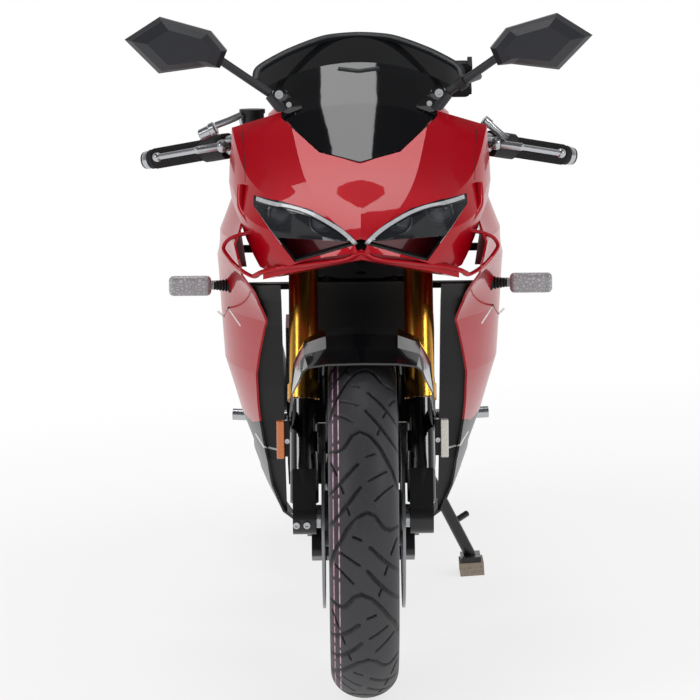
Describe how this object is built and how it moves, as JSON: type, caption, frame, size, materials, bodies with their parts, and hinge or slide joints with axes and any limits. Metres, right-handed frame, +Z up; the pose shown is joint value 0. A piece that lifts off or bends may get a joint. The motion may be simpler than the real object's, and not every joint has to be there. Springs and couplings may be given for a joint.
{
  "type": "sport bike",
  "caption": "Full-fairing sport bike on its side stand with a wooden block under the foot; steering, wheels and stand move.",
  "frame": {"origin": "bottom centre of the bounding box, on the ground the tyres stand on", "axes": "+Y towards the tail, so the bike faces -Y; +X towards the rider's left, the stand side; +Z up"},
  "size_m": [0.7772, 1.987, 1.1259],
  "materials": {
    "red_paint": "gloss metallic red paint",
    "black_gloss": "gloss black moulding",
    "belly_grey": "gloss dark grey moulding",
    "black_plastic": "grained black moulding",
    "black_metal": "satin black paint",
    "gold_anodised": "gold anodised",
    "bright_metal": "machined, satin",
    "disc_steel": "ground steel",
    "chrome_steel": "hard chrome",
    "tyre_rubber": "road tyre rubber",
    "soft_rubber": "moulded rubber",
    "screen_tint": "smoked acrylic",
    "lamp_lens": "clear polycarbonate",
    "tail_lens": "red polycarbonate",
    "seat_vinyl": "grained vinyl",
    "case_alloy": "cast alloy, dark",
    "exhaust_steel": "brushed stainless steel",
    "block_wood": "weathered softwood"
  },
  "bodies": {
    "chassis": {"engine_block": "case_alloy", "drive_chain": "bright_metal", "swingarm": "black_metal", "pivot_bolt": "bright_metal", "rear_axle": "bright_metal", "rear_caliper": "black_metal", "rear_shock": "black_metal", "side_fairing_left": "red_paint", "side_fairing_right": "red_paint", "belly_pan": "belly_grey", "main_frame": "black_metal", "radiator": "black_metal", "inner_panels": "black_plastic", "headlight_lenses": "lamp_lens", "lamp_surrounds": "red_paint", "headlight_units": "black_plastic", "windscreen": "screen_tint", "nose_cowl": "red_paint", "air_ducts": "black_plastic", "fairing_stay": "black_metal", "instrument_panel": "black_plastic", "mirrors": "black_gloss", "phone_holder": "black_plastic", "front_indicators": "lamp_lens", "subframe": "black_metal", "fuel_tank": "red_paint", "rider_seat": "seat_vinyl", "tail_cowl": "red_paint", "pillion_seat": "seat_vinyl", "tail_light": "tail_lens", "rear_fender": "black_plastic", "rear_indicators": "lamp_lens", "exhaust": "exhaust_steel", "foot_pegs": "bright_metal", "stand_block": "block_wood"},
    "steering": {"fork_tubes": "gold_anodised", "fork_stanchions": "chrome_steel", "fork_feet": "black_metal", "front_axle": "bright_metal", "lower_yoke": "black_metal", "upper_yoke": "black_metal", "handlebars": "black_metal", "grips": "soft_rubber", "switch_housings": "black_plastic", "control_levers": "bright_metal", "brake_reservoir": "black_plastic", "front_fender": "black_gloss", "front_calipers": "black_metal"},
    "front_wheel": {"front_tyre": "tyre_rubber", "front_rim": "black_metal", "front_discs": "disc_steel"},
    "rear_wheel": {"rear_tyre": "tyre_rubber", "rear_rim": "black_metal", "rear_disc": "disc_steel", "rear_sprocket": "bright_metal"},
    "side_stand": {"side_stand": "black_metal"}
  },
  "joints": [
    {"name": "steering_turn", "type": "hinge", "parent": "chassis", "child": "steering", "pos_m": [-0.01195, -0.45163, 0.77199], "axis": [0.0558, 0.4067, 0.9118], "range_deg": [-27, 27]},
    {"name": "front_wheel_spin", "type": "hinge", "parent": "steering", "child": "front_wheel", "pos_m": [-0.04127, -0.7005, 0.29258], "axis": [0.9981, 0, -0.061], "continuous": true},
    {"name": "rear_wheel_spin", "type": "hinge", "parent": "chassis", "child": "rear_wheel", "pos_m": [-0.03999, 0.6795, 0.31355], "axis": [0.9981, 0, -0.061], "continuous": true},
    {"name": "side_stand_fold", "type": "hinge", "parent": "chassis", "child": "side_stand", "pos_m": [0.06533, 0.1375, 0.20091], "axis": [0.9657, 0, 0.2596], "range_deg": [0, 97]}
  ]
}
